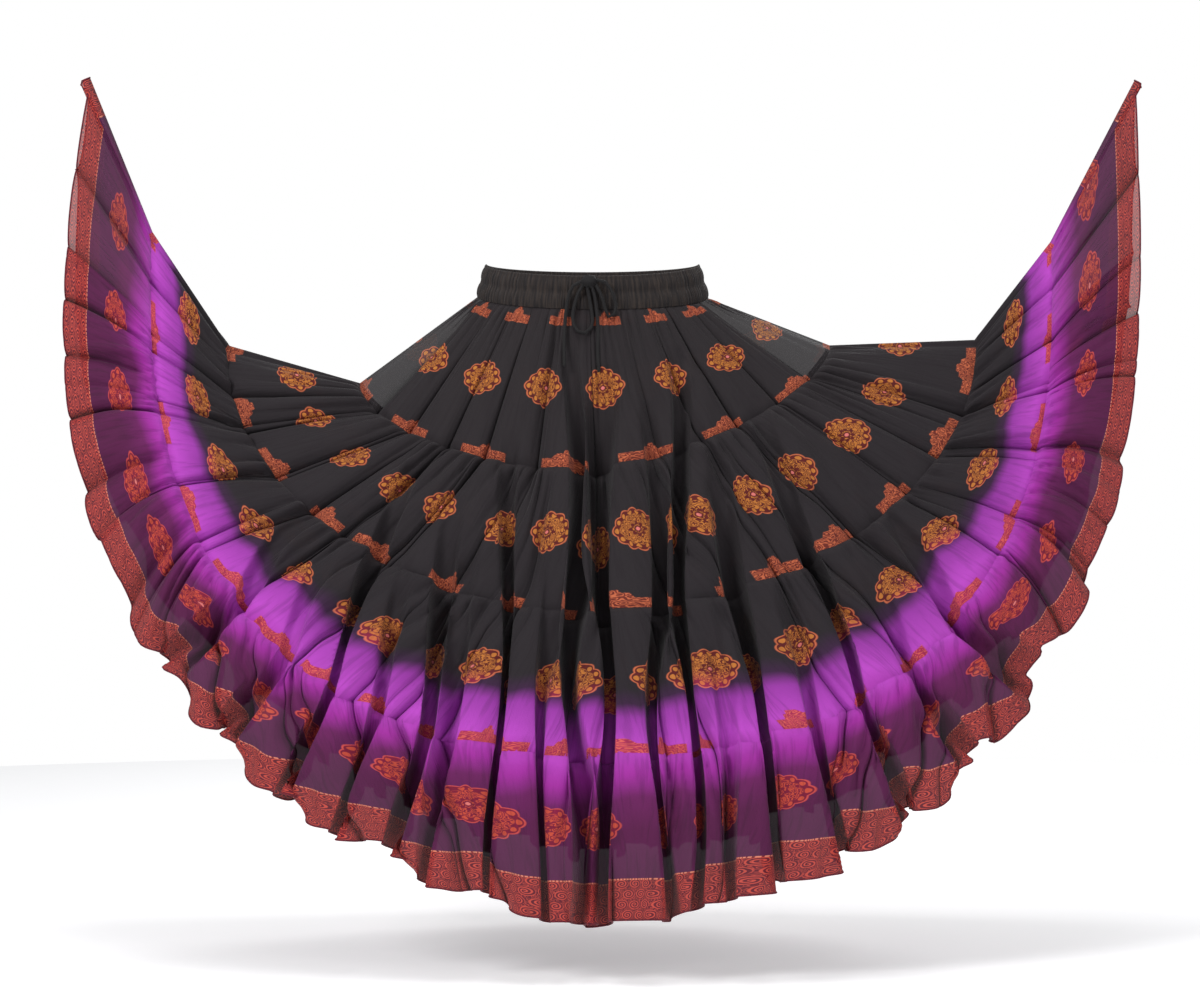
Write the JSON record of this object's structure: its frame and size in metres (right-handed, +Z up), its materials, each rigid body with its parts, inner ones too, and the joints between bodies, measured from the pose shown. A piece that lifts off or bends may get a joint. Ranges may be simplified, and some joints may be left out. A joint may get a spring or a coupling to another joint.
{
  "type": "tribal belly dance skirt",
  "caption": "Long tiered drawstring skirt, gathered at each seam, worn with both sides of its hem held up to two tips; black, purple and plum with a scroll border.",
  "frame": {"origin": "middle of the waist opening, where the wearer holds the skirt up", "axes": "+X to the side held up at the picture's right, -Y to the front of the skirt, +Z up"},
  "size_m": [1.5536, 0.7176, 1.1903],
  "materials": {
    "black_cloth": "sheer crinkled cotton, black with gold and maroon motifs, matt with a soft sheen",
    "purple_cloth": "sheer crinkled cotton, dyed from black into bright purple, with gold and coral motifs",
    "plum_cloth": "sheer crinkled cotton, dyed from purple into dark plum, with red motifs and a red scroll border",
    "cord": "soft black cotton cord"
  },
  "bodies": {
    "root": {"waistband": "black_cloth", "tier_1": "black_cloth", "tier_2_front": "black_cloth", "tier_2_back": "black_cloth", "tier_3_front": "purple_cloth", "tier_3_back": "purple_cloth", "tier_4_front": "plum_cloth", "tier_4_back": "plum_cloth", "drawstring_knot": "cord", "drawstring_loop_left": "cord", "drawstring_loop_right": "cord", "drawstring_end_left": "cord", "drawstring_end_right": "cord"}
  },
  "joints": []
}
